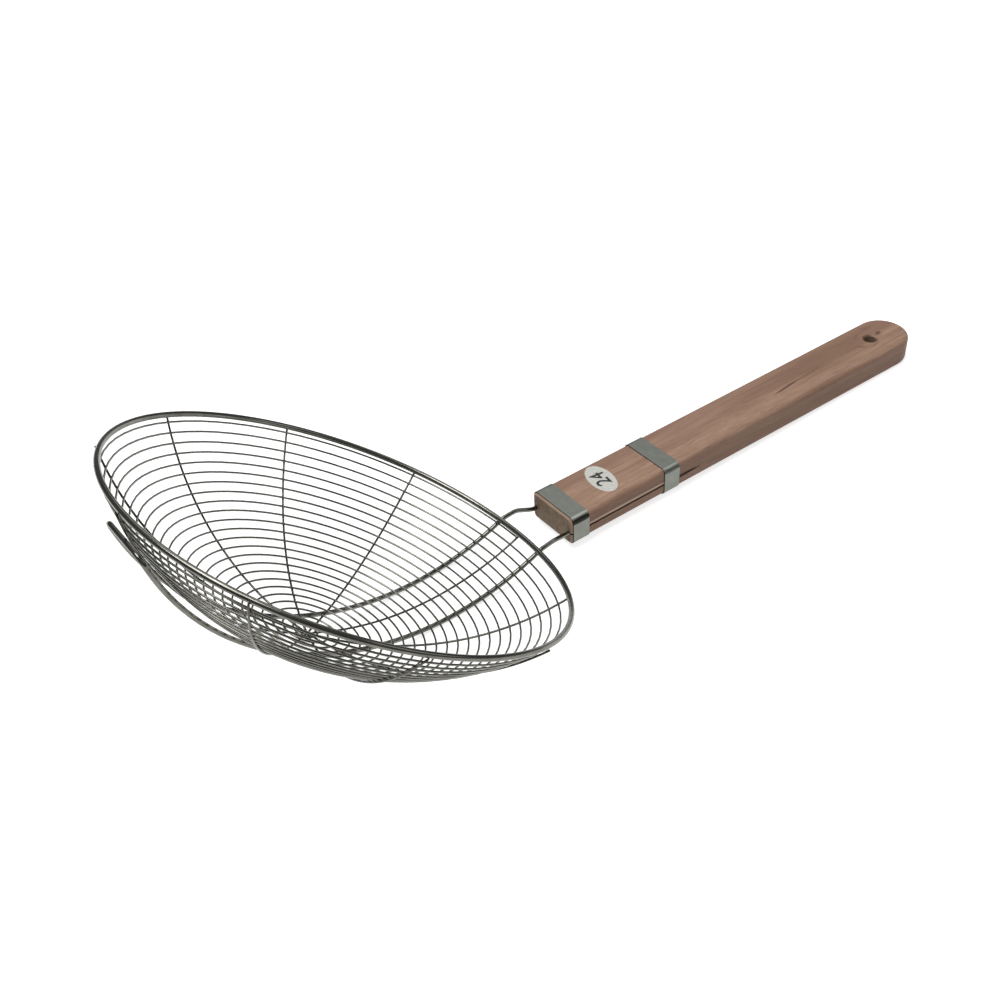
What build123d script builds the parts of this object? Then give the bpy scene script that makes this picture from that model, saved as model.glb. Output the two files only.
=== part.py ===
from build123d import *
import math
import os

# Spider skimmer: a shallow round basket of spiral wire on a flat wooden handle.
#
# The basket is drawn first in its own frame: the rim lies in the plane z = 0 with its centre at
# the origin, the bowl hangs below, and the handle leaves towards +X and rises.  At the end the
# whole skimmer is tilted and lowered until it lies on a table at z = 0, on the two runs of its
# support wire and on the rear end of its handle.

# Basket
basket_radius = 120.0          # outside of the rim wire
bowl_depth = 62.0              # rim wire's centre plane to the spiral wire at the bowl's lowest point
rim_wire_radius = 1.6
rib_wire_radius = 0.6
rib_count = 5                  # wires that cross the whole bowl, so twice as many show as ribs
rib_step = 36.75               # degrees from one crossing wire to the next, set by hand
rib_overrun = 0.3              # rib wire left past the place where it is fixed to the rim
spiral_wire_radius = 0.55
spiral_turns = 24
spiral_eye = 4.4               # from the bowl's lowest point to the spiral's inner end
spiral_rim_gap = 0.15          # between the outer turn and the rim wire
wire_seat = 0.04               # between crossing thin wires, where they are fixed together

# Support wire: one bent wire that carries the basket and ends in a hook at the front
support_wire_radius = 1.35
support_half_width = 17.5      # from the middle plane to each run under the bowl
support_seat = 0.3             # between the support wire and what is brazed to it
hook_below_rim = 5.5           # degrees of the bowl's arc from the rim down to the crossbar
hook_corner_radius = 6.0
neck_length = 11.5             # from the rim to the bend before the handle
neck_slope = 41.0              # degrees between the rim's plane and that length
neck_half_width = 17.2         # from the middle plane to each run at that bend
neck_bend_radius = 9.0
spread_rise = 2.2              # from the rim up to where the two runs start to close in
spread_bend_radius = 10.0
entry_bend_radius = 9.0
entry_lead = 2.6               # from the handle's front face to the bend before it

# Handle, measured from the front edge of the front ferrule, which is at handle_start
handle_start_x = 136.65
handle_start_z = 18.8          # height of the handle's top face there
handle_rise = 31.5             # degrees between the rim's plane and the handle
handle_length = 294.5
handle_width = 34.6
handle_thickness = 17.4
handle_corner_radius = 3.0
handle_nose = 1.2              # wood that stands out in front of the front ferrule
nose_chamfer = 0.9
hang_hole_radius = 4.1
hang_hole_setback = 29.0       # from the handle's rear end to the hole's centre
hang_hole_chamfer = 0.7

# Saw kerf and wire channel in each side of the handle
channel_depth_below_top = 10.0
channel_inset = 2.5            # from the handle's side to the middle of each channel
channel_clearance = 0.06
wire_reach = 84.0              # how far the support wire's ends reach into the handle
channel_end_gap = 0.5
kerf_width = 1.2
kerf_run = 84.0
saw_blade_radius = 25.0

# Ferrules: two bands of thin sheet that clamp the wood onto the support wire
ferrule_width = 11.5
ferrule_pitch = 68.5
ferrule_thickness = 0.55
ferrule_fit = 0.03
ferrule_seam = 0.4

# Oval size label on top of the handle
label_length = 26.2
label_width = 15.2
label_thickness = 0.12
label_place = 36.0
label_side_offset = 1.1
label_turn = 7.8               # degrees, as it was stuck on a little askew

cut_overrun = 2.0
# Sides of each wire's section: few, because the wires are thin and long
thick_wire_sides = 8
rib_wire_sides = 6
spiral_wire_sides = 3
spiral_section_share = 1.13    # of the wire's radius, so that three sides show about as wide as a round wire

# Sphere of the bowl, found from the rim and the depth
rim_radius = basket_radius - rim_wire_radius
sphere_offset = bowl_depth - rim_wire_radius + spiral_wire_radius
sphere_centre_z = (rim_radius ** 2 - sphere_offset ** 2) / (2 * sphere_offset)
rim_distance = math.hypot(rim_radius, sphere_centre_z)
rib_sphere = rim_distance + rim_wire_radius + rib_wire_radius + wire_seat
spiral_sphere = rib_sphere - rib_wire_radius - spiral_wire_radius - wire_seat
rim_angle = math.atan2(rim_radius, sphere_centre_z)


def on_sphere(radius, polar, azimuth):
    """Point on a sphere round the bowl's centre; polar is measured up from the lowest point."""
    flat = radius * math.sin(polar)
    return Vector(
        flat * math.cos(azimuth),
        flat * math.sin(azimuth),
        sphere_centre_z - radius * math.cos(polar),
    )


def tube(path, section_radius, sides, corner_dir=None):
    """Sweep a section along a path, with one corner on the given side, and compare its volume."""
    plane = Plane(origin=path @ 0, x_dir=corner_dir, z_dir=path % 0)
    outline = RegularPolygon(section_radius, sides)
    solid = sweep(plane * outline, path=path)
    expected = outline.area * path.length
    print(f"  wire of {path.length:.0f} mm, volume against section times length "
          f"{solid.volume / expected:.4f}")
    return solid


def biarc(start, start_tangent, end, end_tangent):
    """Two arcs that join smoothly and leave and arrive along the given unit tangents."""
    chord = end - start
    both = start_tangent + end_tangent
    spread = 2 * (1 - start_tangent.dot(end_tangent))
    along = chord.dot(both)
    reach = (math.sqrt(along ** 2 + spread * chord.dot(chord)) - along) / spread
    first_corner = start + start_tangent * reach
    second_corner = end - end_tangent * reach
    middle = (first_corner + second_corner) * 0.5
    middle_tangent = (second_corner - first_corner).normalized()
    return [
        Edge.make_tangent_arc(start, start_tangent, middle),
        Edge.make_tangent_arc(middle, middle_tangent, end),
    ]


def rounded_route(points, bend_radii):
    """Straight runs through the points, joined by tangent arcs at the inner points."""
    edges = []
    here = points[0]
    for before, corner, after, radius in zip(points, points[1:], points[2:], bend_radii):
        come = (corner - before).normalized()
        leave = (after - corner).normalized()
        turn = math.acos(come.dot(leave))
        setback = radius * math.tan(turn / 2)
        bend_start = corner - come * setback
        bend_end = corner + leave * setback
        edges.append(Edge.make_line(here, bend_start))
        edges.append(Edge.make_tangent_arc(bend_start, come, bend_end))
        here = bend_end
    edges.append(Edge.make_line(here, points[-1]))
    return edges


def rim():
    """Closed ring of the thick rim wire."""
    section = Plane.XZ * Pos(rim_radius, 0) * RegularPolygon(rim_wire_radius, thick_wire_sides)
    return revolve(section, Axis.Z)


# Spiral: even pitch along the bowl's surface, from beside the rim to the eye at the bottom
outer_gap = rim_wire_radius + spiral_wire_radius + spiral_rim_gap
outer_setback = math.sqrt(outer_gap ** 2 - (rim_distance - spiral_sphere) ** 2)
spiral_outer_arc = spiral_sphere * rim_angle - outer_setback
spiral_pitch = (spiral_outer_arc - spiral_eye) / spiral_turns


def spiral_point(turn):
    """Centre of the spiral wire after this many turns from its outer end."""
    polar = (spiral_outer_arc - spiral_pitch * turn) / spiral_sphere
    return on_sphere(spiral_sphere, polar, 2 * math.pi * turn)


def spiral_tangent(turn):
    """Unit direction of the spiral wire after this many turns."""
    polar = (spiral_outer_arc - spiral_pitch * turn) / spiral_sphere
    azimuth = 2 * math.pi * turn
    inward = Vector(
        -math.cos(polar) * math.cos(azimuth),
        -math.cos(polar) * math.sin(azimuth),
        -math.sin(polar),
    )
    around = Vector(-math.sin(azimuth), math.cos(azimuth), 0)
    return (inward * spiral_pitch + around * (2 * math.pi * spiral_sphere * math.sin(polar))).normalized()


def spiral():
    """The basket's mesh: one wire wound from the rim to the bottom on biarcs of half a turn."""
    arcs_per_turn = 2
    stops = [step / arcs_per_turn for step in range(spiral_turns * arcs_per_turn + 1)]
    edges = []
    for start, end in zip(stops, stops[1:]):
        edges += biarc(spiral_point(start), spiral_tangent(start), spiral_point(end), spiral_tangent(end))
    path = Wire(edges)
    samples_per_turn = 12
    turns = [
        [spiral_point(turn + step / samples_per_turn) for step in range(samples_per_turn)]
        for turn in range(spiral_turns)
    ]
    least = min(
        (a - b).length
        for outer, inner in zip(turns, turns[1:])
        for a in outer
        for b in inner
    )
    print(f"  spiral pitch {spiral_pitch:.2f} mm, least gap to itself "
          f"{least - 2 * spiral_wire_radius:.2f} mm")
    # The section's flat lies towards the ribs, as well as it can from the rim down to the eye
    mean_polar = spiral_outer_arc / spiral_sphere / 2
    inward = Vector(-math.sin(mean_polar), 0, math.cos(mean_polar))
    return tube(path, spiral_wire_radius * spiral_section_share, spiral_wire_sides, inward)


def rib(index):
    """One wire across the bowl, pressed flat where all of them cross at the lowest point."""
    azimuth = math.radians(rib_step * index)
    end_polar = rim_angle + rib_overrun / rib_sphere
    path = Edge.make_three_point_arc(
        on_sphere(rib_sphere, -end_polar, azimuth),
        on_sphere(rib_sphere, 0, azimuth),
        on_sphere(rib_sphere, end_polar, azimuth),
    )
    solid = tube(path, rib_wire_radius, rib_wire_sides)
    # Each wire keeps one layer of the crossing, and the layers lie face on face
    lap_radius = (rib_wire_radius + wire_seat) / math.sin(math.pi / (2 * rib_count))
    layer = 2 * rib_wire_radius / rib_count
    underside = sphere_centre_z - rib_sphere - rib_wire_radius
    centred = Align.CENTER
    if index > 0:
        floor_of_layer = Pos(0, 0, underside + layer * index)
        solid -= floor_of_layer * Cylinder(lap_radius, cut_overrun, align=(centred, centred, Align.MAX))
    if index < rib_count - 1:
        top_of_layer = Pos(0, 0, underside + layer * (index + 1))
        solid -= top_of_layer * Cylinder(lap_radius, cut_overrun, align=(centred, centred, Align.MIN))
    return solid


# Support wire: its runs under the bowl are arcs that clear the ribs, the rim and the spiral
hook_angle = rim_angle - math.radians(hook_below_rim)
support_sphere = rib_sphere + rib_wire_radius + support_wire_radius
support_plane_radius = math.sqrt(support_sphere ** 2 - support_half_width ** 2)
support_arc_radius = support_plane_radius + support_seat
support_shift = (support_sphere - support_plane_radius) / math.sin(hook_angle)
hook_polar = hook_angle - hook_corner_radius / support_arc_radius


def support_point(polar):
    """Point of the support wire's arc, as (x, z); polar is positive towards the handle."""
    return Vector(
        support_arc_radius * math.sin(polar) - support_shift,
        0,
        sphere_centre_z - support_arc_radius * math.cos(polar),
    )


channel_half_spacing = handle_width / 2 - channel_inset

# Handle frame: X along the handle, Z square to its top face, origin at the front ferrule's edge
handle_plane = Plane(
    origin=(handle_start_x, 0, handle_start_z),
    x_dir=(math.cos(math.radians(handle_rise)), 0, math.sin(math.radians(handle_rise))),
    z_dir=(-math.sin(math.radians(handle_rise)), 0, math.cos(math.radians(handle_rise))),
)


def in_handle(along, across, height):
    """Point given in the handle's frame."""
    return handle_plane.from_local_coords(Vector(along, across, height))


def support_wire():
    """The bent wire: handle channel, neck, under the bowl, crossbar, and back the same way."""
    up_at_rim = Vector(math.cos(rim_angle), 0, math.sin(rim_angle))
    up_at_front = Vector(-math.cos(hook_polar), 0, math.sin(hook_polar))
    slope = math.radians(neck_slope)
    up_the_neck = Vector(math.cos(slope), 0, math.sin(slope))
    to_side = Vector(0, support_half_width, 0)
    closing_in = Vector(0, support_half_width - neck_half_width, 0)
    rim_pass = support_point(rim_angle) + to_side
    front_end = support_point(-hook_polar) + to_side
    edges = rounded_route(
        [
            in_handle(wire_reach, channel_half_spacing, -channel_depth_below_top),
            in_handle(-handle_nose - entry_lead, channel_half_spacing, -channel_depth_below_top),
            rim_pass + up_the_neck * neck_length - closing_in,
            rim_pass + up_at_rim * spread_rise,
            rim_pass,
        ],
        [entry_bend_radius, neck_bend_radius, spread_bend_radius],
    )
    edges.append(Edge.make_three_point_arc(rim_pass, support_point(0) + to_side, front_end))
    corner_end = front_end + up_at_front * hook_corner_radius - Vector(0, hook_corner_radius, 0)
    edges.append(Edge.make_tangent_arc(front_end, up_at_front, corner_end))
    mirrored = [edge.mirror(Plane.XZ) for edge in edges]
    crossbar_half = Vector(0, support_half_width - hook_corner_radius, 0)
    crossbar = Edge.make_line(corner_end, corner_end - crossbar_half * 2)
    return tube(Wire(edges + [crossbar] + mirrored), support_wire_radius, thick_wire_sides)


def handle_blank(grow=0.0):
    """Flat bar with a round rear end and rounded long edges, grown all round by a thickness."""
    half_width = handle_width / 2 + grow
    straight = handle_length - handle_width / 2
    bar = Pos(-handle_nose, 0) * Rectangle(
        handle_nose + straight, 2 * half_width, align=(Align.MIN, Align.CENTER)
    )
    outline = bar + Pos(straight, 0) * Circle(half_width)
    blank = Pos(0, 0, grow) * extrude(outline, -handle_thickness - 2 * grow)
    eased = [
        edge
        for edge in blank.edges()
        if abs(edge.center().Z + handle_thickness / 2) > handle_thickness / 4
        and edge.center().X > 0
    ]
    return fillet(eased, handle_corner_radius + grow)


def saw_kerf(side):
    """Kerf in one side of the handle, with the round run-out of the saw blade at its rear end."""
    middle = Align.CENTER
    depth = handle_width / 2 + cut_overrun - channel_half_spacing
    start = handle_nose + cut_overrun
    slot = Pos(-start, side * channel_half_spacing, -channel_depth_below_top) * Box(
        start + kerf_run, depth, kerf_width,
        align=(Align.MIN, Align.MIN if side > 0 else Align.MAX, middle),
    )
    blade = Pos(kerf_run, side * (channel_half_spacing + saw_blade_radius), -channel_depth_below_top)
    return slot + blade * Cylinder(saw_blade_radius, kerf_width)


def wire_channel(side):
    """Round channel at the bottom of one kerf, which holds one end of the support wire."""
    length = handle_nose + cut_overrun + wire_reach + channel_end_gap
    start = Pos(-handle_nose - cut_overrun, side * channel_half_spacing, -channel_depth_below_top)
    section = Plane.YZ * Circle(support_wire_radius + channel_clearance)
    return start * extrude(section, length)


def handle():
    """The wooden handle with its nose chamfer, kerfs, wire channels and hang hole."""
    wood = handle_blank()
    nose = wood.faces().sort_by(Axis.X)[0]
    wood = chamfer(nose.edges(), nose_chamfer)
    hole_place = handle_length - hang_hole_setback
    wood -= Pos(hole_place, 0, -handle_thickness / 2) * Cylinder(hang_hole_radius, 2 * handle_thickness)
    mouths = [
        edge
        for edge in wood.edges().filter_by(GeomType.CIRCLE)
        if abs(edge.radius - hang_hole_radius) < hang_hole_chamfer and edge.is_closed
    ]
    wood = chamfer(mouths, hang_hole_chamfer)
    for side in (-1, 1):
        wood -= saw_kerf(side)
        wood -= wire_channel(side)
    return handle_plane * wood


def ferrule(place):
    """Sheet band round the handle with its butt seam in the middle of the underside."""
    middle = Align.CENTER
    window = Pos(place, 0, -handle_thickness / 2) * Box(
        ferrule_width, 2 * handle_width, 2 * handle_thickness, align=(Align.MIN, middle, middle)
    )
    shell = handle_blank(ferrule_fit + ferrule_thickness) - handle_blank(ferrule_fit)
    seam = Pos(place, 0, -handle_thickness) * Box(
        3 * ferrule_width, ferrule_seam, handle_thickness, align=(middle, middle, middle)
    )
    return handle_plane * (shell & window) - handle_plane * seam


def size_label():
    """Oval sticker on top of the handle, between the two ferrules."""
    oval = Ellipse(label_length / 2, label_width / 2)
    placed = Pos(label_place, label_side_offset) * Rot(0, 0, 90 - label_turn) * oval
    return handle_plane * extrude(placed, label_thickness)


def rest_tilt():
    """Angle, in degrees, that lays the wire runs and the handle's rear end on one table."""
    drop = handle_thickness - handle_corner_radius
    rear = in_handle(handle_length - handle_corner_radius, 0, -drop)
    wire_centre = Vector(-support_shift, 0, sphere_centre_z)
    away = rear - wire_centre
    height = support_arc_radius + support_wire_radius - handle_corner_radius
    return math.degrees(math.atan2(away.Z, away.X) + math.asin(height / math.hypot(away.X, away.Z)))


pieces = {
    "handle": handle(),
    "front_ferrule": ferrule(0),
    "rear_ferrule": ferrule(ferrule_pitch),
    "size_label": size_label(),
    "rim_ring": rim(),
    "spiral_wire": spiral(),
    "support_wire": support_wire(),
}
for number in range(rib_count):
    pieces[f"rib_wire_{number + 1}"] = rib(number)

tilted = {name: piece.rotate(Axis.Y, rest_tilt()) for name, piece in pieces.items()}
boxes = [piece.bounding_box() for piece in tilted.values()]
front = min(box.min.X for box in boxes)
rear = max(box.max.X for box in boxes)
bottom = min(box.min.Z for box in boxes)
top = max(box.max.Z for box in boxes)
to_table = Pos(-(front + rear) / 2, 0, -bottom)

os.makedirs("parts", exist_ok=True)
for name, piece in tilted.items():
    placed = to_table * piece
    placed.label = name
    export_step(placed, f"parts/{name}.step")
print(f"rest tilt {rest_tilt():.2f} degrees, {rear - front:.1f} mm long, {top - bottom:.1f} mm high")
print(f"rim centre at x {to_table.position.X:.2f}, z {to_table.position.Z:.2f}")
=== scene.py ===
import logging
import math
from dataclasses import dataclass
from enum import Enum
import bmesh
import bpy
from mathutils import Matrix, Quaternion, Vector


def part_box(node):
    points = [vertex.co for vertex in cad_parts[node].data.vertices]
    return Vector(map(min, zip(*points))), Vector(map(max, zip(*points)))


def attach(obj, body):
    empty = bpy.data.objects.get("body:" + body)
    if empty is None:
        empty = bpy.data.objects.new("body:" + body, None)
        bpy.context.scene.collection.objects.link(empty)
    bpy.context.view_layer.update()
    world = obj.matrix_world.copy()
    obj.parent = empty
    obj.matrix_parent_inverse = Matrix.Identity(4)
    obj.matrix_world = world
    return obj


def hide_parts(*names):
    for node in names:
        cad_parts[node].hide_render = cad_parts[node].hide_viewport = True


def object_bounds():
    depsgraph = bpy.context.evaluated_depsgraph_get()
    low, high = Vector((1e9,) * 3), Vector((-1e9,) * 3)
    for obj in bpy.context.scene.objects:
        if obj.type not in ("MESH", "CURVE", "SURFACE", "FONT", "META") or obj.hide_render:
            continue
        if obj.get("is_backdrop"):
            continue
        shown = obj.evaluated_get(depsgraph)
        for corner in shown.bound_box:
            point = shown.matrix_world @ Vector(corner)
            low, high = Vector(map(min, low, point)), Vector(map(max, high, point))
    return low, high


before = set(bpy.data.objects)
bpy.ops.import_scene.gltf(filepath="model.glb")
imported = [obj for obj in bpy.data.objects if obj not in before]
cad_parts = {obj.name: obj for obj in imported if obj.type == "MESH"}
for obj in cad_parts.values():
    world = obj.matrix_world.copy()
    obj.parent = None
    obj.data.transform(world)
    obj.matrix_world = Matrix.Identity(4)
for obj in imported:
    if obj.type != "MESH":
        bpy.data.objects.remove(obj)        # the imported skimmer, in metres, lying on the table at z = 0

LOG = logging.getLogger("spider_skimmer")
MM = 0.001                     # one millimetre in Blender's metres
BODY = "root"                  # the skimmer is rigid, so every piece rides on one body
WELD_REACH = 0.002 * MM        # loose corners nearer than this are one corner
RIM_WIRE_RADIUS = 1.6 * MM
HANDLE_START = (136.65, 18.8)  # mm from the rim's centre, along the rim's plane and up from it
HANDLE_RISE = 31.5             # degrees between the rim's plane and the handle


class Axis(Enum):
    """Table axes, by the letter that the maths library takes."""

    X = "X"
    Y = "Y"
    Z = "Z"


def linear(hex_colour: str) -> tuple[float, float, float, float]:
    """Turn an sRGB hex colour into the linear colour that the shaders take.

    Args:
        hex_colour: Six hex digits after a hash sign.

    Returns:
        Red, green, blue and an alpha of 1.
    """
    digits = hex_colour.lstrip("#")
    shares = [int(digits[at:at + 2], 16) / 255 for at in (0, 2, 4)]
    red, green, blue = (
        share / 12.92 if share <= 0.04045 else ((share + 0.055) / 1.055) ** 2.4
        for share in shares
    )
    return red, green, blue, 1.0


class NodeTree:
    """Nodes of one material or world, with one way to add a node."""

    def __init__(self, owner: bpy.types.Material | bpy.types.World) -> None:
        """Start an empty tree.

        Args:
            owner: The new material or world.
        """
        owner.use_nodes = True
        self.tree = owner.node_tree
        self.tree.nodes.clear()

    def add(
        self,
        kind: str,
        settings: dict[str, object] | None = None,
        values: dict[str | int, object] | None = None,
        links: dict[str | int, bpy.types.NodeSocket] | None = None,
        stops: tuple[tuple[float, str], ...] = (),
    ) -> bpy.types.Node:
        """Add a node, set it up and join what feeds it.

        Args:
            kind: Blender's name of the node type.
            settings: The node's own properties.
            values: Values for its inputs, by name or place.
            links: Outputs of other nodes that feed its inputs, by name or place.
            stops: Places from 0 to 1 and their sRGB hex colours, where the node holds a ramp.

        Returns:
            The new node.
        """
        node = self.tree.nodes.new(kind)
        for key, value in (settings or {}).items():
            setattr(node, key, value)
        for key, value in (values or {}).items():
            node.inputs[key].default_value = value
        for key, output in (links or {}).items():
            self.tree.links.new(output, node.inputs[key])
        for number, (place, colour) in enumerate(stops):
            elements = node.color_ramp.elements
            element = elements[number] if number < len(elements) else elements.new(1.0)
            element.position = place
            element.color = linear(colour)
        return node


def put_in_scene(name: str, data: bpy.types.ID) -> bpy.types.Object:
    """Put a mesh, curve, text, lamp or camera into the scene.

    Args:
        name: Name of the object.
        data: What the object holds.

    Returns:
        The object, at the origin.
    """
    made = bpy.data.objects.new(name, data)
    bpy.context.scene.collection.objects.link(made)
    return made


def paint(piece: bpy.types.Object, material: bpy.types.Material) -> None:
    """Give a piece its material and the name of its material slot, and report it.

    Args:
        piece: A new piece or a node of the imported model.
        material: The finish.
    """
    piece.data.materials.clear()
    piece.data.materials.append(material)
    LOG.info("%s: %s, %d faces", piece.name, material.name, len(piece.data.polygons))


# Finishes


def handle_space(tree: NodeTree, frame_of_handle: Matrix) -> bpy.types.NodeSocket:
    """Measure a pattern's space in millimetres along the handle.

    Args:
        tree: The material's nodes.
        frame_of_handle: The handle's frame.

    Returns:
        The place in the handle's frame, in mm.
    """
    return tree.add(
        "ShaderNodeMapping",
        {"vector_type": "TEXTURE"},
        {
            "Location": frame_of_handle.translation,
            "Rotation": frame_of_handle.to_euler(),
            "Scale": (MM, MM, MM),
        },
        {"Vector": tree.add("ShaderNodeTexCoord").outputs["Object"]},
    ).outputs["Vector"]


@dataclass(frozen=True)
class SurfaceMark:
    """One soft mark on the handle or a ferrule, such as a knot, a stain, painted shade or a painted
    highlight.
    """

    place: tuple[float, float, float]      # mm in the handle's frame
    turn: float                            # degrees round the handle's Z axis
    reach: tuple[float, float, float]      # mm, half its length, width and depth
    colour: str
    strength: float
    core: float = 0.2                      # share of the reach that takes the full strength

    def lay(
        self, tree: NodeTree, place: bpy.types.NodeSocket, under: bpy.types.NodeSocket
    ) -> bpy.types.NodeSocket:
        """Lay the mark over a colour, soft towards its rim.

        Args:
            tree: The material's nodes.
            place: Place on the handle, in mm in its frame.
            under: The colour without the mark.

        Returns:
            The colour with the mark.
        """
        in_mark = tree.add(
            "ShaderNodeMapping",
            {"vector_type": "TEXTURE"},
            {
                "Location": self.place,
                "Rotation": (0.0, 0.0, math.radians(self.turn)),
                "Scale": self.reach,
            },
            {"Vector": place},
        ).outputs["Vector"]
        from_middle = tree.add(
            "ShaderNodeVectorMath", {"operation": "LENGTH"}, links={0: in_mark}
        ).outputs["Value"]
        inside = tree.add(
            "ShaderNodeMapRange",
            {"interpolation_type": "SMOOTHSTEP"},
            {"From Min": 1.0, "From Max": self.core, "To Max": self.strength},
            {"Value": from_middle},
        ).outputs["Result"]
        return tree.add(
            "ShaderNodeMix",
            {"data_type": "RGBA"},
            {"B": linear(self.colour)},
            {"Factor": inside, "A": under},
        ).outputs["Result"]


@dataclass(frozen=True)
class DrawnWire:
    """Stainless steel wire, drawn and lightly polished.

    Drawing leaves it smooth, so it shows a bright line where a lamp meets it and goes nearly
    black beside that line, with a faint uneven haze from handling.
    """

    name: str = "drawn_stainless_wire"
    clean: str = "#7c7b75"
    hazed: str = "#63625c"
    roughness: float = 0.17
    polish: float = 0.05           # how much smoother it is where it is clean
    dulling: float = 0.1           # how much rougher it is where it is hazed
    haze_size: float = 14.0        # mm
    streak_size: float = 0.35      # mm, coarser than the real drawing lines, so that they show
    streak_depth: float = 0.02     # mm

    def make(self) -> bpy.types.Material:
        """Build the material.

        Returns:
            The material.
        """
        material = bpy.data.materials.new(self.name)
        tree = NodeTree(material)
        place = tree.add("ShaderNodeTexCoord").outputs["Object"]
        haze = tree.add(
            "ShaderNodeTexNoise",
            values={"Scale": 1 / (self.haze_size * MM), "Detail": 4.0, "Roughness": 0.6},
            links={"Vector": place},
        ).outputs["Fac"]
        colour = tree.add(
            "ShaderNodeValToRGB",
            links={"Fac": haze},
            stops=((0.35, self.clean), (0.7, self.hazed)),
        ).outputs["Color"]
        streaks = tree.add(
            "ShaderNodeTexNoise",
            values={"Scale": 1 / (self.streak_size * MM), "Detail": 2.0},
            links={"Vector": place},
        ).outputs["Fac"]
        roughness = tree.add(
            "ShaderNodeMapRange",
            values={
                "To Min": self.roughness - self.polish,
                "To Max": self.roughness + self.dulling,
            },
            links={"Value": haze},
        ).outputs["Result"]
        bump = tree.add(
            "ShaderNodeBump",
            values={"Strength": 0.1, "Distance": self.streak_depth * MM},
            links={"Height": streaks},
        ).outputs["Normal"]
        surface = tree.add(
            "ShaderNodeBsdfPrincipled",
            values={"Metallic": 1.0},
            links={"Base Color": colour, "Roughness": roughness, "Normal": bump},
        ).outputs["BSDF"]
        tree.add("ShaderNodeOutputMaterial", links={"Surface": surface})
        return material


@dataclass(frozen=True)
class ShadedRibWire(DrawnWire):
    """The ribs' wire, painted darker as painted shade, and rougher, so that it shines less."""

    name: str = "shaded_rib_wire"
    clean: str = "#57564f"
    hazed: str = "#3f3e39"
    roughness: float = 0.22


@dataclass(frozen=True)
class FerruleSheet:
    """Cold rolled sheet steel with a dull zinc coat, bent round the handle.

    Rolling gives it faint lines along the strip, and the coat scatters the light, so it looks
    flat grey.  A dark painted reflection and a bright painted highlight run where it turns over
    the handle's corner, and the front edge is painted dark as painted shade.
    """

    name: str = "zinc_coated_sheet"
    light: str = "#84877f"
    dark: str = "#777a74"
    # painted shade on the front edge of the sheet
    edge_shade: str = "#2b2a27"
    roughness: float = 0.42
    line_spacing: float = 0.5      # mm
    line_length: float = 12.5      # mm
    line_depth: float = 0.03       # mm
    line_weight: float = 0.6       # of the lines' shade against that of the clouds
    cloud_size: float = 4.0        # mm
    edge_facing: tuple[float, float] = (-0.85, -0.95)   # normal's X, from the coat to the painted shade of the front edge
    marks: tuple[SurfaceMark, ...] = (
        # painted reflection: dark bands along the near corners of the front and rear ferrules
        SurfaceMark((5.8, -17.6, -2.1), 0.0, (12.0, 2.6, 2.1), "#20221f", 0.95, 0.6),
        SurfaceMark((74.3, -17.6, -1.8), 0.0, (12.0, 2.2, 1.4), "#3c3e3a", 0.6, 0.5),
        # painted highlight: bright lines along the near corners of both ferrules
        SurfaceMark((5.8, -15.9, 0.5), 0.0, (12.0, 0.9, 1.4), "#d6d9d2", 0.9, 0.5),
        SurfaceMark((74.3, -16.0, 0.5), 0.0, (12.0, 0.9, 1.4), "#d6d9d2", 0.8, 0.5),
    )

    def make(self, frame_of_handle: Matrix) -> bpy.types.Material:
        """Build the material.

        Args:
            frame_of_handle: The handle's frame, because the strip runs square to it.

        Returns:
            The material.
        """
        material = bpy.data.materials.new(self.name)
        tree = NodeTree(material)
        along_handle = handle_space(tree, frame_of_handle)
        stretch = 1 / self.line_length
        round_the_band = tree.add(
            "ShaderNodeMapping",
            values={"Scale": (1 / self.line_spacing, stretch, stretch)},
            links={"Vector": along_handle},
        ).outputs["Vector"]
        lines = tree.add(
            "ShaderNodeTexNoise",
            values={"Scale": 1.0, "Detail": 3.0},
            links={"Vector": round_the_band},
        ).outputs["Fac"]
        clouds = tree.add(
            "ShaderNodeTexNoise",
            values={"Scale": 1 / self.cloud_size, "Detail": 3.0},
            links={"Vector": along_handle},
        ).outputs["Fac"]
        both = tree.add(
            "ShaderNodeMath",
            {"operation": "MULTIPLY_ADD"},
            {1: self.line_weight},
            {0: lines, 2: clouds},
        ).outputs["Value"]
        spread = tree.add(
            "ShaderNodeMapRange", values={"From Min": 0.5, "From Max": 1.1}, links={"Value": both}
        ).outputs["Result"]
        coat = tree.add(
            "ShaderNodeValToRGB",
            links={"Fac": spread},
            stops=((0.0, self.dark), (1.0, self.light)),
        ).outputs["Color"]
        # lay the painted reflections and highlights along the corners
        for mark in self.marks:
            coat = mark.lay(tree, along_handle, coat)
        # painted shade on the front edge, where the surface faces forward
        facing = tree.add(
            "ShaderNodeSeparateXYZ",
            links={"Vector": tree.add("ShaderNodeNewGeometry").outputs["Normal"]},
        ).outputs["X"]
        edge = tree.add(
            "ShaderNodeMapRange",
            values={"From Min": self.edge_facing[0], "From Max": self.edge_facing[1]},
            links={"Value": facing},
        ).outputs["Result"]
        colour = tree.add(
            "ShaderNodeMix",
            {"data_type": "RGBA"},
            {"B": linear(self.edge_shade)},
            {"Factor": edge, "A": coat},
        ).outputs["Result"]
        bump = tree.add(
            "ShaderNodeBump",
            values={"Strength": 0.15, "Distance": self.line_depth * MM},
            links={"Height": lines},
        ).outputs["Normal"]
        surface = tree.add(
            "ShaderNodeBsdfPrincipled",
            values={"Metallic": 1.0, "Roughness": self.roughness},
            links={"Base Color": colour, "Normal": bump},
        ).outputs["BSDF"]
        tree.add("ShaderNodeOutputMaterial", links={"Surface": surface})
        return material


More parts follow.
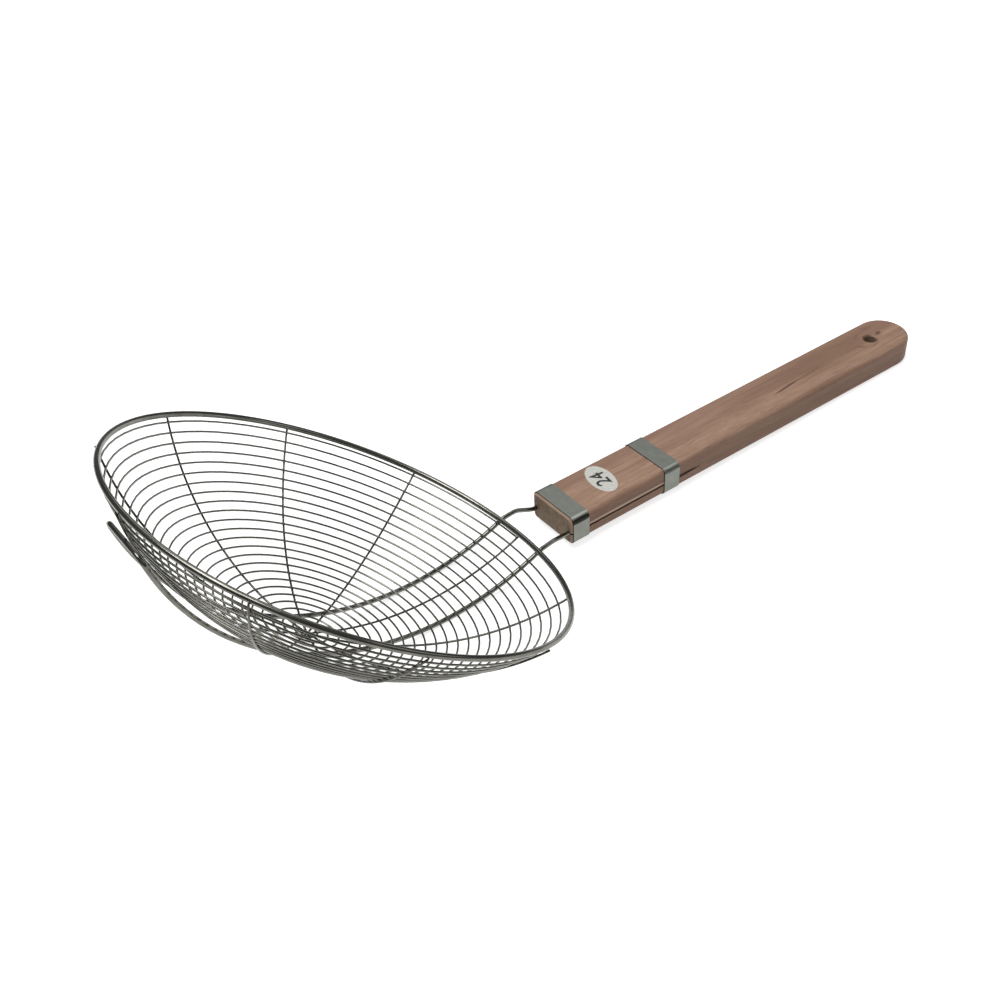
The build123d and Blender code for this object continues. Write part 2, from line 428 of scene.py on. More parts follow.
@dataclass(frozen=True)
class BareWood:
    """Sanded reddish hardwood without varnish.

    The grain runs along the handle in soft bands of pinkish and tan brown.  Open pores show as
    short dark dashes on the long faces, and the sawn front end drinks more light and looks
    darker.  The saw kerfs are painted a deeper brown inside as painted shade, with a painted
    highlight along their upper lips, and the sides get a redder painted shade.  The drilled
    hole is a greyer brown.
    """

    name: str = "bare_reddish_hardwood"
    pale: str = "#b8957d"
    middle: str = "#a37e69"
    deep: str = "#8a6651"
    tan: str = "#9e806a"
    shaded: str = "#8a6957"
    pore: str = "#6d4d3d"
    end_grain: str = "#877154"
    end_pores: str = "#574630"
    # a darker, redder painted shade for both sides
    side_shade: str = "#86604c"
    chamfer: str = "#b99e86"
    # painted shade inside the saw kerfs
    sawn: str = "#6d4c39"
    bored: str = "#8d7462"
    fibre_shades: tuple[str, str] = ("#e6e3e0", "#ffffff")    # multiply the colour
    roughness: float = 0.6
    band_width: float = 6.0        # mm across the grain, between pale and deep bands
    band_length: float = 110.0     # mm
    sway: float = 7.0              # mm, how far the grain wanders sideways
    sway_length: float = 75.0      # mm
    patch_width: float = 15.0      # mm
    patch_length: float = 60.0     # mm
    patch_shift: tuple[float, float, float] = (3.0, 5.0, 1.0)    # in patches
    fibre_width: float = 0.5       # mm, about ten times the real width, so that it shows
    fibre_length: float = 25.0     # mm
    pore_width: float = 0.36       # mm, about twice the real width, so that it shows
    pore_length: float = 6.0       # mm
    pore_depth: float = 0.08       # mm
    end_pore_size: float = 2.2     # mm, coarser than real end grain, so that it shows
    far_half: tuple[float, float] = (-4.0, 17.0)             # mm across, where the shade grows
    side_facing: tuple[float, float] = (0.6, 0.95)           # normal's Y, from top to side
    end_facing: tuple[float, float] = (-0.9, -0.97)          # normal's X, from chamfer to end
    chamfer_facing: tuple[float, float] = (-0.5, -0.66)      # normal's X, from top to chamfer
    chamfer_limit: tuple[float, float] = (-0.9, -0.76)       # normal's X, from end to chamfer
    kerf_height: float = -10.0     # mm, the kerfs' middle under the top face
    kerf_half_width: float = 0.66  # mm, a little more than the kerf, to take in its lips
    kerf_floor: float = 13.3       # mm from the handle's middle plane
    kerf_end: float = 97.0         # mm from the front ferrule's front edge
    hole_place: tuple[float, float, float] = (265.5, 0.0, 0.0)    # mm in the handle's frame
    hole_radius: float = 4.3       # mm, a little more than the hole
    marks: tuple[SurfaceMark, ...] = (
        SurfaceMark((224.0, 4.0, 0.0), 0.0, (70.0, 15.0, 5.0), "#785740", 0.6, 0.3),
        SurfaceMark((265.5, 0.0, 0.0), 0.0, (5.3, 5.3, 2.0), "#3f2a1f", 0.95, 0.8),
        SurfaceMark((274.8, 1.4, 0.0), 20.0, (3.6, 2.4, 3.0), "#5c3424", 0.9, 0.3),
        SurfaceMark((260.2, 7.4, 0.0), 30.0, (5.5, 1.8, 2.0), "#744b38", 0.6),
        SurfaceMark((272.6, 10.8, 0.0), -8.0, (6.5, 1.9, 2.0), "#744b38", 0.6),
        SurfaceMark((254.0, -3.2, 0.0), -35.0, (5.0, 1.8, 2.0), "#744b38", 0.6),
        SurfaceMark((263.0, -7.0, 0.0), 8.0, (6.0, 1.4, 2.0), "#7a5743", 0.5),
        SurfaceMark((184.0, -3.4, 0.0), 5.0, (18.0, 1.1, 2.0), "#4d3424", 0.9, 0.3),
        SurfaceMark((208.0, -1.6, 0.0), 5.0, (19.0, 0.9, 2.0), "#654634", 0.6),
        SurfaceMark((145.0, 3.5, 0.0), 3.0, (30.0, 0.8, 2.0), "#7b5a47", 0.35),
        SurfaceMark((112.0, 8.0, 0.0), 2.0, (26.0, 0.9, 2.0), "#7b5a47", 0.35),
        SurfaceMark((95.0, -5.0, 0.0), 1.0, (18.0, 0.7, 2.0), "#7b5a47", 0.3),
        SurfaceMark((55.0, 4.0, 0.0), -2.0, (20.0, 1.0, 2.0), "#7d5c49", 0.35),
        # painted highlight along the upper lip of each kerf
        SurfaceMark((40.0, -17.3, -8.6), 0.0, (48.0, 2.0, 1.1), "#f4ddc6", 1.0, 0.6),
        SurfaceMark((40.0, 17.3, -8.6), 0.0, (48.0, 2.0, 1.1), "#f4ddc6", 1.0, 0.6),
        # painted shade in the near kerf's run-out
        SurfaceMark((81.5, -17.3, -9.9), 0.0, (12.0, 2.0, 1.7), "#1d130d", 0.97, 0.7),
    )

    def grain(
        self, tree: NodeTree, place: bpy.types.NodeSocket
    ) -> tuple[bpy.types.NodeSocket, bpy.types.NodeSocket]:
        """Draw the bands, the patches, the fibres and the pores.

        Args:
            tree: The material's nodes.
            place: Place on the handle, in mm in its frame.

        Returns:
            The wood's colour, and the share of pore at each place.
        """
        wander = tree.add(
            "ShaderNodeTexNoise",
            values={"Scale": 1 / self.sway_length, "Detail": 2.0},
            links={"Vector": place},
        ).outputs["Color"]
        bent = tree.add(
            "ShaderNodeVectorMath",
            {"operation": "MULTIPLY_ADD"},
            {1: (0.0, self.sway, self.sway)},
            {0: wander, 2: place},
        ).outputs["Vector"]
        across = 1 / self.band_width
        in_bands = tree.add(
            "ShaderNodeMapping",
            values={"Scale": (1 / self.band_length, across, across)},
            links={"Vector": bent},
        ).outputs["Vector"]
        bands = tree.add(
            "ShaderNodeTexNoise",
            values={"Scale": 1.0, "Detail": 5.0, "Roughness": 0.6},
            links={"Vector": in_bands},
        ).outputs["Fac"]
        wood = tree.add(
            "ShaderNodeValToRGB",
            links={"Fac": bands},
            stops=((0.34, self.deep), (0.66, self.pale), (0.5, self.middle)),
        ).outputs["Color"]
        broad = 1 / self.patch_width
        in_patches = tree.add(
            "ShaderNodeMapping",
            values={"Scale": (1 / self.patch_length, broad, broad), "Location": self.patch_shift},
            links={"Vector": bent},
        ).outputs["Vector"]
        patchy = tree.add(
            "ShaderNodeTexNoise",
            values={"Scale": 1.0, "Detail": 3.0},
            links={"Vector": in_patches},
        ).outputs["Fac"]
        patches = tree.add(
            "ShaderNodeMapRange",
            values={"From Min": 0.45, "From Max": 0.65, "To Max": 0.5},
            links={"Value": patchy},
        ).outputs["Result"]
        wood = tree.add(
            "ShaderNodeMix",
            {"data_type": "RGBA"},
            {"B": linear(self.tan)},
            {"Factor": patches, "A": wood},
        ).outputs["Result"]
        thin = 1 / self.fibre_width
        in_fibres = tree.add(
            "ShaderNodeMapping",
            values={"Scale": (1 / self.fibre_length, thin, thin)},
            links={"Vector": bent},
        ).outputs["Vector"]
        fibres = tree.add(
            "ShaderNodeTexNoise", values={"Scale": 1.0, "Detail": 2.0}, links={"Vector": in_fibres}
        ).outputs["Fac"]
        fibre_shade = tree.add(
            "ShaderNodeValToRGB",
            links={"Fac": fibres},
            stops=((0.35, self.fibre_shades[0]), (0.65, self.fibre_shades[1])),
        ).outputs["Color"]
        wood = tree.add(
            "ShaderNodeMix",
            {"data_type": "RGBA", "blend_type": "MULTIPLY"},
            {"Factor": 1.0},
            {"A": wood, "B": fibre_shade},
        ).outputs["Result"]
        narrow = 1 / self.pore_width
        in_pores = tree.add(
            "ShaderNodeMapping",
            values={"Scale": (1 / self.pore_length, narrow, narrow)},
            links={"Vector": bent},
        ).outputs["Vector"]
        dashes = tree.add(
            "ShaderNodeTexNoise",
            values={"Scale": 1.0, "Detail": 1.0, "Roughness": 0.4},
            links={"Vector": in_pores},
        ).outputs["Fac"]
        pores = tree.add(
            "ShaderNodeMapRange",
            values={"From Min": 0.6, "From Max": 0.74, "To Max": 0.55},
            links={"Value": dashes},
        ).outputs["Result"]
        wood = tree.add(
            "ShaderNodeMix",
            {"data_type": "RGBA"},
            {"B": linear(self.pore)},
            {"Factor": pores, "A": wood},
        ).outputs["Result"]
        return wood, pores

    def long_faces(
        self,
        tree: NodeTree,
        where: bpy.types.NodeOutputs,
        normal: bpy.types.NodeOutputs,
        wood: bpy.types.NodeSocket,
    ) -> bpy.types.NodeSocket:
        """Paint shade on the top face's far half, and a redder painted shade on both sides.

        Args:
            tree: The material's nodes.
            where: Place on the handle, one output for each direction.
            normal: The surface's normal, one output for each direction.
            wood: The colour so far.

        Returns:
            The new colour.
        """
        far_half = tree.add(
            "ShaderNodeMapRange",
            values={"From Min": self.far_half[0], "From Max": self.far_half[1], "To Max": 0.6},
            links={"Value": where["Y"]},
        ).outputs["Result"]
        wood = tree.add(
            "ShaderNodeMix",
            {"data_type": "RGBA"},
            {"B": linear(self.shaded)},
            {"Factor": far_half, "A": wood},
        ).outputs["Result"]
        sideways = tree.add(
            "ShaderNodeMath", {"operation": "ABSOLUTE"}, links={0: normal["Y"]}
        ).outputs["Value"]
        to_side = tree.add(
            "ShaderNodeMapRange",
            values={
                "From Min": self.side_facing[0], "From Max": self.side_facing[1], "To Max": 0.4
            },
            links={"Value": sideways},
        ).outputs["Result"]
        return tree.add(
            "ShaderNodeMix",
            {"data_type": "RGBA"},
            {"B": linear(self.side_shade)},
            {"Factor": to_side, "A": wood},
        ).outputs["Result"]

    def sawn_end(
        self,
        tree: NodeTree,
        place: bpy.types.NodeSocket,
        normal: bpy.types.NodeOutputs,
        wood: bpy.types.NodeSocket,
    ) -> bpy.types.NodeSocket:
        """Mottle the sawn front end, and paint the chamfer round it paler.

        Args:
            tree: The material's nodes.
            place: Place on the handle, in mm in its frame.
            normal: The surface's normal, one output for each direction.
            wood: The colour so far.

        Returns:
            The new colour.
        """
        to_front = tree.add(
            "ShaderNodeMapRange",
            values={
                "From Min": self.end_facing[0], "From Max": self.end_facing[1], "To Max": 0.85
            },
            links={"Value": normal["X"]},
        ).outputs["Result"]
        mottle = tree.add(
            "ShaderNodeTexNoise",
            values={"Scale": 1 / self.end_pore_size, "Detail": 4.0, "Roughness": 0.7},
            links={"Vector": place},
        ).outputs["Fac"]
        mottled = tree.add(
            "ShaderNodeValToRGB",
            links={"Fac": mottle},
            stops=((0.38, self.end_pores), (0.6, self.end_grain)),
        ).outputs["Color"]
        wood = tree.add(
            "ShaderNodeMix",
            {"data_type": "RGBA"},
            links={"Factor": to_front, "A": wood, "B": mottled},
        ).outputs["Result"]
        to_chamfer = tree.add(
            "ShaderNodeMapRange",
            values={
                "From Min": self.chamfer_facing[0],
                "From Max": self.chamfer_facing[1],
                "To Max": 0.6,
            },
            links={"Value": normal["X"]},
        ).outputs["Result"]
        off_end = tree.add(
            "ShaderNodeMapRange",
            values={"From Min": self.chamfer_limit[0], "From Max": self.chamfer_limit[1]},
            links={"Value": normal["X"]},
        ).outputs["Result"]
        on_chamfer = tree.add(
            "ShaderNodeMath", {"operation": "MULTIPLY"}, links={0: to_chamfer, 1: off_end}
        ).outputs["Value"]
        return tree.add(
            "ShaderNodeMix",
            {"data_type": "RGBA"},
            {"B": linear(self.chamfer)},
            {"Factor": on_chamfer, "A": wood},
        ).outputs["Result"]

    def kerfs(
        self, tree: NodeTree, where: bpy.types.NodeOutputs, wood: bpy.types.NodeSocket
    ) -> bpy.types.NodeSocket:
        """Paint shade inside the two saw kerfs.

        Args:
            tree: The material's nodes.
            where: Place on the handle, one output for each direction.
            wood: The colour so far.

        Returns:
            The new colour.
        """
        off_kerf = tree.add(
            "ShaderNodeMath", {"operation": "SUBTRACT"}, {1: self.kerf_height}, {0: where["Z"]}
        ).outputs["Value"]
        above_or_below = tree.add(
            "ShaderNodeMath", {"operation": "ABSOLUTE"}, links={0: off_kerf}
        ).outputs["Value"]
        in_kerf = tree.add(
            "ShaderNodeMath",
            {"operation": "LESS_THAN"},
            {1: self.kerf_half_width},
            {0: above_or_below},
        ).outputs["Value"]
        from_middle = tree.add(
            "ShaderNodeMath", {"operation": "ABSOLUTE"}, links={0: where["Y"]}
        ).outputs["Value"]
        at_side = tree.add(
            "ShaderNodeMath",
            {"operation": "GREATER_THAN"},
            {1: self.kerf_floor},
            {0: from_middle},
        ).outputs["Value"]
        before_end = tree.add(
            "ShaderNodeMath", {"operation": "LESS_THAN"}, {1: self.kerf_end}, {0: where["X"]}
        ).outputs["Value"]
        beside = tree.add(
            "ShaderNodeMath", {"operation": "MULTIPLY"}, links={0: at_side, 1: before_end}
        ).outputs["Value"]
        inside = tree.add(
            "ShaderNodeMath", {"operation": "MULTIPLY"}, links={0: in_kerf, 1: beside}
        ).outputs["Value"]
        return tree.add(
            "ShaderNodeMix",
            {"data_type": "RGBA"},
            {"B": linear(self.sawn)},
            {"Factor": inside, "A": wood},
        ).outputs["Result"]

    def hole(
        self, tree: NodeTree, place: bpy.types.NodeSocket, wood: bpy.types.NodeSocket
    ) -> bpy.types.NodeSocket:
        """Give the drilled hole's wall its own brown.

        Args:
            tree: The material's nodes.
            place: Place on the handle, in mm in its frame.
            wood: The colour so far.

        Returns:
            The new colour.
        """
        flat_place = tree.add(
            "ShaderNodeVectorMath", {"operation": "MULTIPLY"}, {1: (1.0, 1.0, 0.0)}, {0: place}
        ).outputs["Vector"]
        from_hole = tree.add(
            "ShaderNodeVectorMath",
            {"operation": "DISTANCE"},
            {1: self.hole_place},
            {0: flat_place},
        ).outputs["Value"]
        in_hole = tree.add(
            "ShaderNodeMath", {"operation": "LESS_THAN"}, {1: self.hole_radius}, {0: from_hole}
        ).outputs["Value"]
        return tree.add(
            "ShaderNodeMix",
            {"data_type": "RGBA"},
            {"B": linear(self.bored)},
            {"Factor": in_hole, "A": wood},
        ).outputs["Result"]

    def make(self, frame_of_handle: Matrix) -> bpy.types.Material:
        """Build the material.

        Args:
            frame_of_handle: The handle's frame, along which the grain runs.

        Returns:
            The material.
        """
        material = bpy.data.materials.new(self.name)
        tree = NodeTree(material)
        place = handle_space(tree, frame_of_handle)
        where = tree.add("ShaderNodeSeparateXYZ", links={"Vector": place}).outputs
        normal = tree.add(
            "ShaderNodeSeparateXYZ",
            links={"Vector": tree.add("ShaderNodeNewGeometry").outputs["Normal"]},
        ).outputs
        wood, pores = self.grain(tree, place)
        # knots and stains, and the painted highlight and painted shade by the kerfs
        for mark in self.marks:
            wood = mark.lay(tree, place, wood)
        wood = self.long_faces(tree, where, normal, wood)
        wood = self.sawn_end(tree, place, normal, wood)
        wood = self.kerfs(tree, where, wood)
        wood = self.hole(tree, place, wood)
        bump = tree.add(
            "ShaderNodeBump",
            {"invert": True},
            {"Strength": 0.35, "Distance": self.pore_depth * MM},
            {"Height": pores},
        ).outputs["Normal"]
        surface = tree.add(
            "ShaderNodeBsdfPrincipled",
            values={"Roughness": self.roughness, "IOR": 1.5},
            links={"Base Color": wood, "Normal": bump},
        ).outputs["BSDF"]
        tree.add("ShaderNodeOutputMaterial", links={"Surface": surface})
        return material


@dataclass(frozen=True)
class StickerPaper:
    """Coated white paper of a size sticker, with a faint fibre mottle and a satin face."""

    name: str = "coated_sticker_paper"
    bright: str = "#d2d1ca"
    dull: str = "#c4c3bb"
    mottle_size: float = 1.6       # mm
    mottle_depth: float = 0.02     # mm

    def make(self) -> bpy.types.Material:
        """Build the material.

        Returns:
            The material.
        """
        material = bpy.data.materials.new(self.name)
        tree = NodeTree(material)
        mottle = tree.add(
            "ShaderNodeTexNoise",
            values={"Scale": 1 / (self.mottle_size * MM), "Detail": 3.0},
            links={"Vector": tree.add("ShaderNodeTexCoord").outputs["Object"]},
        ).outputs["Fac"]
        colour = tree.add(
            "ShaderNodeValToRGB",
            links={"Fac": mottle},
            stops=((0.35, self.dull), (0.6, self.bright)),
        ).outputs["Color"]
        bump = tree.add(
            "ShaderNodeBump",
            values={"Strength": 0.1, "Distance": self.mottle_depth * MM},
            links={"Height": mottle},
        ).outputs["Normal"]
        surface = tree.add(
            "ShaderNodeBsdfPrincipled",
            values={"Roughness": 0.45, "IOR": 1.45},
            links={"Base Color": colour, "Normal": bump},
        ).outputs["BSDF"]
        tree.add("ShaderNodeOutputMaterial", links={"Surface": surface})
        return material


@dataclass(frozen=True)
class PrintedInk:
    """Black ink of the size number, a little worn where it was rubbed."""

    name: str = "black_printed_ink"
    full: str = "#23221f"
    worn: str = "#3d3b37"
    wear_size: float = 0.8         # mm

    def make(self) -> bpy.types.Material:
        """Build the material.

        Returns:
            The material.
        """
        material = bpy.data.materials.new(self.name)
        tree = NodeTree(material)
        wear = tree.add(
            "ShaderNodeTexNoise",
            values={"Scale": 1 / (self.wear_size * MM), "Detail": 2.0},
            links={"Vector": tree.add("ShaderNodeTexCoord").outputs["Object"]},
        ).outputs["Fac"]
        colour = tree.add(
            "ShaderNodeValToRGB", links={"Fac": wear}, stops=((0.45, self.full), (0.7, self.worn))
        ).outputs["Color"]
        surface = tree.add(
            "ShaderNodeBsdfPrincipled",
            values={"Roughness": 0.5, "IOR": 1.45},
            links={"Base Color": colour},
        ).outputs["BSDF"]
        tree.add("ShaderNodeOutputMaterial", links={"Surface": surface})
        return material


# Places on the object


def basket_tilt() -> float:
    """Find how far the basket leans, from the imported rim's height and length.

    Returns:
        The lean in radians.
    """
    low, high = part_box("rim_ring")
    wire = RIM_WIRE_RADIUS
    return math.atan2((high.z - low.z) / 2 - wire, (high.x - low.x) / 2 - wire)


def basket_frame() -> Matrix:
    """Find the basket's frame: its origin is the rim's centre, and its Z axis leaves the mouth."""
    low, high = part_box("rim_ring")
    return Matrix.Translation((low + high) / 2) @ Matrix.Rotation(basket_tilt(), 4, Axis.Y.value)


def handle_frame() -> Matrix:
    """Find the handle's frame: X along it, Z out of its top face, origin at the front ferrule.

    Returns:
        The frame as a matrix.
    """
    start = Vector((HANDLE_START[0], 0.0, HANDLE_START[1])) * MM
    rise = math.radians(HANDLE_RISE)
    return basket_frame() @ Matrix.Translation(start) @ Matrix.Rotation(-rise, 4, Axis.Y.value)


def to_mesh(maker: bpy.types.Object, name: str, place: Matrix) -> bpy.types.Object:
    """Turn a curve or text into a mesh piece whose place is in its vertices.

    Args:
        maker: The curve or text object, which is removed.
        name: Name of the new piece.
        place: Where the piece goes.

    Returns:
        The mesh piece, at the origin.
    """
    bpy.context.view_layer.update()
    mesh = bpy.data.meshes.new_from_object(maker)
    mesh.name = name
    mesh.transform(place)
    piece = put_in_scene(name, mesh)
    bpy.data.objects.remove(maker)
    return piece


def smoothed_copy(node: str, name: str, sharpest: float) -> bpy.types.Object:
    """Copy a packed wire, weld its loose triangles and shade it round.

    Args:
        node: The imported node.
        name: Name of the new piece.
        sharpest: Degrees between faces, above which an edge stays sharp.

    Returns:
        The piece, which stands for the node.
    """
    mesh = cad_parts[node].data.copy()
    mesh.name = name
    mesh.materials.clear()
    weld = bmesh.new()
    weld.from_mesh(mesh)
    bmesh.ops.remove_doubles(weld, verts=weld.verts, dist=WELD_REACH)
    for face in weld.faces:
        face.smooth = True
    weld.to_mesh(mesh)
    weld.free()
    mesh.set_sharp_from_angle(angle=math.radians(sharpest))
    piece = put_in_scene(name, mesh)
    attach(piece, BODY)
    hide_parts(node)
    return piece


# Sub-assemblies


@dataclass
class WireBasket:
    """The bowl: thick rim wire, crossing rib wires and one wound wire on top of them."""

    outer_radius: float = 120.0 * MM
    depth: float = 62.0 * MM
    rim_wire_radius: float = RIM_WIRE_RADIUS
    rim_margin: float = 0.04 * MM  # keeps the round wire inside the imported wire's flats
    rim_sides: int = 20
    rim_steps: int = 180
    spiral_wire_radius: float = 0.55 * MM
    spiral_turns: int = 24
    spiral_eye: float = 4.4 * MM
    spiral_rim_gap: float = 0.15 * MM
    spiral_roundness: int = 2      # steps that Blender adds to each quarter of its section
    points_per_turn: int = 72
    rib_count: int = 5
    rib_sharpest: float = 62.0     # degrees, so that a rib's six sides shade round

    def __post_init__(self) -> None:
        """Work out the sphere that the bowl lies on, and the spiral's even pitch."""
        self.rim_radius = self.outer_radius - self.rim_wire_radius
        drop = self.depth - self.rim_wire_radius + self.spiral_wire_radius
        self.centre_height = (self.rim_radius ** 2 - drop ** 2) / (2 * drop)
        rim_distance = math.hypot(self.rim_radius, self.centre_height)
        self.sphere = rim_distance + self.rim_wire_radius - self.spiral_wire_radius
        rim_angle = math.atan2(self.rim_radius, self.centre_height)
        gap = self.rim_wire_radius + self.spiral_wire_radius + self.spiral_rim_gap
        setback = math.sqrt(gap ** 2 - (rim_distance - self.sphere) ** 2)
        self.outer_arc = self.sphere * rim_angle - setback
        self.pitch = (self.outer_arc - self.spiral_eye) / self.spiral_turns

    def spiral_point(self, turn: float) -> Vector:
        """Find the wound wire's centre.

        Args:
            turn: Turns from the wire's outer end.

        Returns:
            The point in the basket's frame.
        """
        polar = (self.outer_arc - self.pitch * turn) / self.sphere
        flat = self.sphere * math.sin(polar)
        azimuth = 2 * math.pi * turn
        return Vector(
            (
                flat * math.cos(azimuth),
                flat * math.sin(azimuth),
                self.centre_height - self.sphere * math.cos(polar),
            )
        )

    def wind(self) -> bpy.types.Object:
        """Wind the spiral as one round wire.

        Returns:
            The wound wire.
        """
        curve = bpy.data.curves.new("spiral", "CURVE")
        curve.dimensions = "3D"
        curve.bevel_depth = self.spiral_wire_radius
        curve.bevel_resolution = self.spiral_roundness
        curve.use_fill_caps = True
        count = self.spiral_turns * self.points_per_turn + 1
        line = curve.splines.new("POLY")
        line.points.add(count - 1)
        for number, point in enumerate(line.points):
            point.co = (*self.spiral_point(number / self.points_per_turn), 1.0)
        piece = to_mesh(put_in_scene("spiral", curve), "wound_wire", basket_frame())
        for face in piece.data.polygons:
            face.use_smooth = True
        return piece

    def bend_rim(self) -> bpy.types.Object:
        """Bend the round rim wire into its closed ring.

        Returns:
            The ring.
        """
        ring = bmesh.new()
        section = bmesh.ops.create_circle(
            ring,
            cap_ends=False,
            segments=self.rim_sides,
            radius=self.rim_wire_radius - self.rim_margin,
            matrix=Matrix.Translation((self.rim_radius, 0.0, 0.0))
            @ Matrix.Rotation(math.radians(90), 4, Axis.X.value),
        )
        verts = section["verts"]
        edges = list({edge for vert in verts for edge in vert.link_edges})
        bmesh.ops.spin(
            ring,
            geom=[*verts, *edges],
            cent=(0.0, 0.0, 0.0),
            axis=(0.0, 0.0, 1.0),
            angle=2 * math.pi,
            steps=self.rim_steps,
            use_merge=True,
        )
        bmesh.ops.remove_doubles(ring, verts=ring.verts, dist=WELD_REACH)
        bmesh.ops.recalc_face_normals(ring, faces=ring.faces)
        for face in ring.faces:
            face.smooth = True
        bmesh.ops.transform(ring, matrix=basket_frame(), verts=ring.verts)
        mesh = bpy.data.meshes.new("rim_hoop")
        ring.to_mesh(mesh)
        ring.free()
        return put_in_scene("rim_hoop", mesh)

    def build(self, wire: bpy.types.Material, rib_wire: bpy.types.Material) -> None:
        """Make the round wires of the basket.

        Args:
            wire: Finish of the rim and the wound wire.
            rib_wire: Finish of the crossing ribs, the wire's finish painted darker as painted shade.
        """
        for piece, node in ((self.wind(), "spiral_wire"), (self.bend_rim(), "rim_ring")):
            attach(piece, BODY)
            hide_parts(node)
            paint(piece, wire)
        for number in range(1, self.rib_count + 1):
            rib = smoothed_copy(f"rib_wire_{number}", f"cross_rib_{number}", self.rib_sharpest)
            paint(rib, rib_wire)


@dataclass
class SupportWire:
    """The bent wire under the bowl, from the handle to the hook at the front."""

    node: str = "support_wire"
    sharpest: float = 60.0         # degrees, so that its eight sides shade round

    def build(self, wire: bpy.types.Material) -> None:
        """Make the smooth wire.

        Args:
            wire: The wire's finish.
        """
        paint(smoothed_copy(self.node, "bent_carrier_wire", self.sharpest), wire)


@dataclass
class Handle:
    """The wooden handle, its two ferrules and the oval size sticker."""

    ferrules: tuple[str, ...] = ("front_ferrule", "rear_ferrule")
    size_class: str = "24"         # the plain number on the sticker
    digit_height: float = 8.8      # mm
    digit_share: float = 0.7       # of the letters' nominal size that a digit is high
    digit_swell: float = 0.17      # mm, how much the strokes are fattened all round
    digit_flatness: float = 0.1    # share of the fattened strokes' height that is kept
    sticker_place: tuple[float, float, float] = (36.0 * MM, 1.1 * MM, 0.12 * MM)
    sticker_turn: float = 7.8      # degrees

    def digits(self) -> bpy.types.Object:
        """Print the plain size number on the sticker, read from the side of the handle.

        Returns:
            The number, as a thin mesh.
        """
        text = bpy.data.curves.new("number", "FONT")
        text.body = self.size_class
        text.align_x = "CENTER"
        text.align_y = "CENTER"
        text.size = self.digit_height / self.digit_share
        text.bevel_depth = self.digit_swell
        turn = Matrix.Rotation(math.radians(90 - self.sticker_turn), 4, Axis.Z.value)
        place = handle_frame() @ Matrix.Translation(self.sticker_place) @ turn
        in_ink = Matrix.Diagonal((MM, MM, MM * self.digit_flatness, 1.0))
        return to_mesh(put_in_scene("number", text), "size_number", place @ in_ink)

    def build(
        self,
        wood: bpy.types.Material,
        sheet: bpy.types.Material,
        paper: bpy.types.Material,
        ink: bpy.types.Material,
    ) -> None:
        """Dress the handle, and print the number.

        Args:
            wood: Finish of the handle.
            sheet: Finish of the ferrules.
            paper: Finish of the sticker.
            ink: Finish of the number.
        """
        paint(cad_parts["handle"], wood)
        for name in self.ferrules:
            paint(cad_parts[name], sheet)
        paint(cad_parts["size_label"], paper)
        number = self.digits()
        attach(number, BODY)
        paint(number, ink)


# Studio


@dataclass(frozen=True)
class Softbox:
    """One square lamp that looks at the middle of the object."""

    name: str
    place: tuple[float, float, float]
    side: float
    watts: float

    def hang(self, target: Vector) -> None:
        """Add the lamp.

        Args:
            target: The point that it faces.
        """
        lamp = bpy.data.lights.new(self.name, "AREA")
        lamp.shape = "SQUARE"
        lamp.size = self.side
        lamp.energy = self.watts
        holder = put_in_scene(self.name, lamp)
        holder.location = self.place
        holder.rotation_mode = "QUATERNION"
        holder.rotation_quaternion = (target - Vector(self.place)).to_track_quat("-Z", "Y")


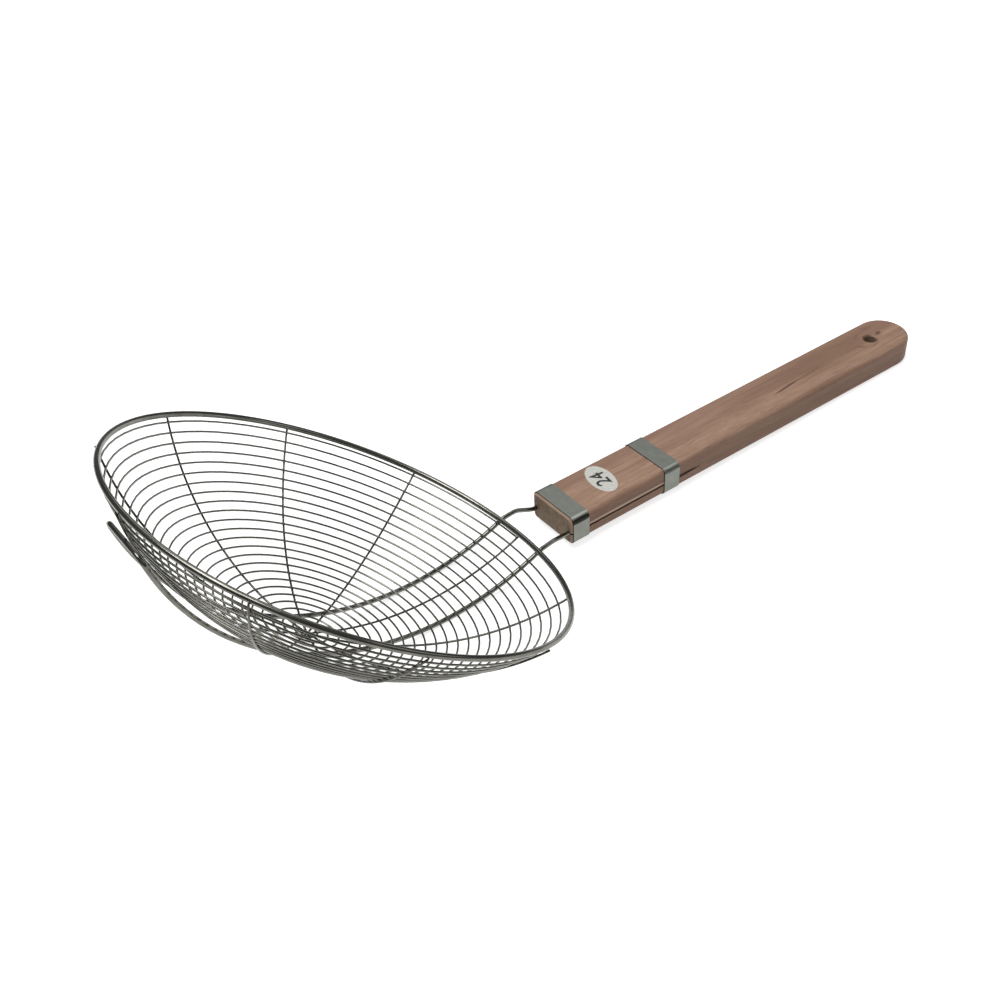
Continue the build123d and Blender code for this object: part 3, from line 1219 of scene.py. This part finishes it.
@dataclass
class Studio:
    """White floor, soft lamps and the camera."""

    floor_side: float = 2.6
    floor_colour: str = "#cfcfcd"
    floor_glow: float = 0.75
    surround_colour: str = "#dfe1e4"
    surround_strength: float = 0.22
    softboxes: tuple[Softbox, ...] = (
        Softbox("key_softbox", (-0.45, 0.15, 1.9), 1.1, 26.0),
        Softbox("fill_softbox", (1.1, -1.1, 1.2), 1.0, 3.0),
        Softbox("back_softbox", (0.9, 1.1, 1.65), 1.7, 9.0),
    )
    # Camera: found by fitting the rim, the ribs and the turns of the spiral in the photograph
    camera_place: tuple[float, float, float] = (-0.35772, -0.43296, 0.46862)
    camera_azimuth: float = -126.452   # degrees, where the camera stands round the object
    camera_elevation: float = 43.879
    camera_roll: float = 3.028
    camera_lens: float = 44.91
    camera_shift: tuple[float, float] = (-0.05, 0.1)
    camera_clip: tuple[float, float] = (0.05, 50.0)    # m, nearest and farthest that it sees

    def camera(self) -> None:
        """Stand the camera at the photograph's place."""
        data = bpy.data.cameras.new("photo_camera")
        data.lens = self.camera_lens
        data.shift_x, data.shift_y = self.camera_shift
        data.clip_start, data.clip_end = self.camera_clip
        holder = put_in_scene("photo_camera", data)
        azimuth, elevation = math.radians(self.camera_azimuth), math.radians(self.camera_elevation)
        back = Vector(
            (
                math.cos(elevation) * math.cos(azimuth),
                math.cos(elevation) * math.sin(azimuth),
                math.sin(elevation),
            )
        )
        level = (-back).to_track_quat("-Z", "Y")
        holder.rotation_mode = "QUATERNION"
        holder.rotation_quaternion = level @ Quaternion((0, 0, 1), -math.radians(self.camera_roll))
        holder.location = self.camera_place
        bpy.context.scene.camera = holder

    def floor(self) -> None:
        """Lay the white floor, which stays white to the camera and keeps a soft shadow."""
        grid = bmesh.new()
        bmesh.ops.create_grid(grid, x_segments=1, y_segments=1, size=self.floor_side / 2)
        mesh = bpy.data.meshes.new("floor")
        grid.to_mesh(mesh)
        grid.free()
        piece = put_in_scene("floor", mesh)
        material = bpy.data.materials.new("matte_white_floor")
        tree = NodeTree(material)
        rays = tree.add("ShaderNodeLightPath").outputs
        seen = tree.add(
            "ShaderNodeMath",
            {"operation": "MAXIMUM"},
            links={0: rays["Is Camera Ray"], 1: rays["Is Glossy Ray"]},
        ).outputs["Value"]
        matte = tree.add(
            "ShaderNodeBsdfDiffuse", values={"Color": linear(self.floor_colour)}
        ).outputs["BSDF"]
        glow = tree.add(
            "ShaderNodeEmission", values={"Strength": self.floor_glow}
        ).outputs["Emission"]
        lit = tree.add("ShaderNodeAddShader", links={0: matte, 1: glow}).outputs["Shader"]
        surface = tree.add(
            "ShaderNodeMixShader", links={"Fac": seen, 1: matte, 2: lit}
        ).outputs["Shader"]
        tree.add("ShaderNodeOutputMaterial", links={"Surface": surface})
        mesh.materials.append(material)
        piece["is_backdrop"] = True

    def world(self) -> None:
        """Surround the object with an even pale light, white where the camera sees it."""
        world = bpy.data.worlds.new("soft_surround")
        tree = NodeTree(world)
        seen = tree.add("ShaderNodeLightPath").outputs["Is Camera Ray"]
        white = tree.add(
            "ShaderNodeBackground", values={"Color": linear("#ffffff"), "Strength": 1.0}
        ).outputs["Background"]
        dim = tree.add(
            "ShaderNodeBackground",
            values={"Color": linear(self.surround_colour), "Strength": self.surround_strength},
        ).outputs["Background"]
        surface = tree.add(
            "ShaderNodeMixShader", links={"Fac": seen, 1: dim, 2: white}
        ).outputs["Shader"]
        tree.add("ShaderNodeOutputWorld", links={"Surface": surface})
        bpy.context.scene.world = world

    def build(self, middle: Vector) -> None:
        """Set up the whole studio.

        Args:
            middle: The middle of the object.
        """
        bpy.context.scene.view_settings.view_transform = "Standard"
        self.camera()
        self.floor()
        self.world()
        for box in self.softboxes:
            box.hang(middle)
        LOG.info("studio: %d softboxes", len(self.softboxes))


def main() -> None:
    """Build the studio, then the skimmer's sub-assemblies."""
    logging.basicConfig(level=logging.INFO, format="%(name)s: %(message)s")
    cad_low, cad_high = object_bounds()
    Studio().build((cad_low + cad_high) / 2)
    wire = DrawnWire().make()
    WireBasket().build(wire, ShadedRibWire().make())
    SupportWire().build(wire)
    place = handle_frame()
    Handle().build(
        BareWood().make(place),
        FerruleSheet().make(place),
        StickerPaper().make(),
        PrintedInk().make(),
    )


if __name__ == "__main__":
    main()
